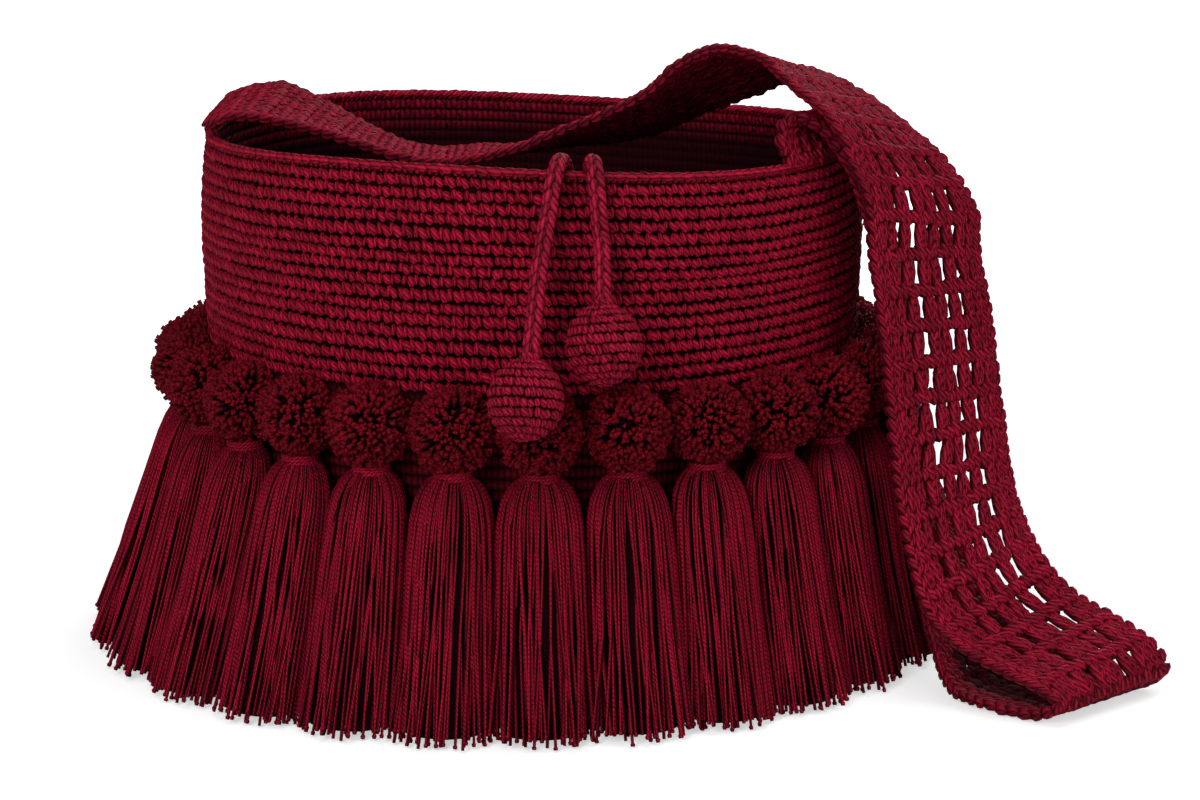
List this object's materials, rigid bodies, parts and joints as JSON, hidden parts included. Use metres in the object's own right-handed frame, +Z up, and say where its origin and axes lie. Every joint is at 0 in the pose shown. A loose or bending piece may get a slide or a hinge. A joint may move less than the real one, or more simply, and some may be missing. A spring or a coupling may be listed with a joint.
{
  "type": "wayuu mochila bag",
  "caption": "Round crocheted mochila bag with an openwork shoulder strap, a drawstring with crocheted balls, and a ring of pompoms and tassels.",
  "frame": {"origin": "centre of the round base, on the surface that the bag stands on", "axes": "+X to the right across the mouth, along the strap's seams; +Y to the back; +Z up"},
  "size_m": [0.4808, 0.3867, 0.2763],
  "materials": {
    "crocheted_wall": "matte crocheted cotton",
    "openwork_strap": "matte crocheted cotton",
    "pompom_yarn": "cut yarn pile",
    "tassel_yarn": "twisted yarn strands",
    "crocheted_ball": "matte crocheted cotton",
    "braided_cord": "matte braided cotton"
  },
  "bodies": {
    "root": {"bag_body": "crocheted_wall", "shoulder_strap": "openwork_strap", "pompom_01": "pompom_yarn", "tassel_01": "tassel_yarn", "pompom_02": "pompom_yarn", "tassel_02": "tassel_yarn", "pompom_03": "pompom_yarn", "tassel_03": "tassel_yarn", "pompom_04": "pompom_yarn", "tassel_04": "tassel_yarn", "pompom_05": "pompom_yarn", "tassel_05": "tassel_yarn", "pompom_06": "pompom_yarn", "tassel_06": "tassel_yarn", "pompom_07": "pompom_yarn", "tassel_07": "tassel_yarn", "pompom_08": "pompom_yarn", "tassel_08": "tassel_yarn", "pompom_09": "pompom_yarn", "tassel_09": "tassel_yarn", "pompom_10": "pompom_yarn", "tassel_10": "tassel_yarn", "pompom_11": "pompom_yarn", "tassel_11": "tassel_yarn", "pompom_12": "pompom_yarn", "tassel_12": "tassel_yarn", "pompom_13": "pompom_yarn", "tassel_13": "tassel_yarn", "pompom_14": "pompom_yarn", "tassel_14": "tassel_yarn", "pompom_15": "pompom_yarn", "tassel_15": "tassel_yarn", "pompom_16": "pompom_yarn", "tassel_16": "tassel_yarn", "pompom_17": "pompom_yarn", "tassel_17": "tassel_yarn", "pompom_18": "pompom_yarn", "tassel_18": "tassel_yarn", "pompom_19": "pompom_yarn", "tassel_19": "tassel_yarn", "pompom_20": "pompom_yarn", "tassel_20": "tassel_yarn", "pompom_21": "pompom_yarn", "tassel_21": "tassel_yarn", "pompom_22": "pompom_yarn", "tassel_22": "tassel_yarn", "pompom_23": "pompom_yarn", "tassel_23": "tassel_yarn", "pompom_24": "pompom_yarn", "tassel_24": "tassel_yarn", "pompom_25": "pompom_yarn", "tassel_25": "tassel_yarn", "pompom_26": "pompom_yarn", "tassel_26": "tassel_yarn", "pompom_27": "pompom_yarn", "tassel_27": "tassel_yarn", "drawstring_left": "braided_cord", "drawstring_right": "braided_cord", "drawstring_ball_left": "crocheted_ball", "drawstring_ball_right": "crocheted_ball"}
  },
  "joints": []
}
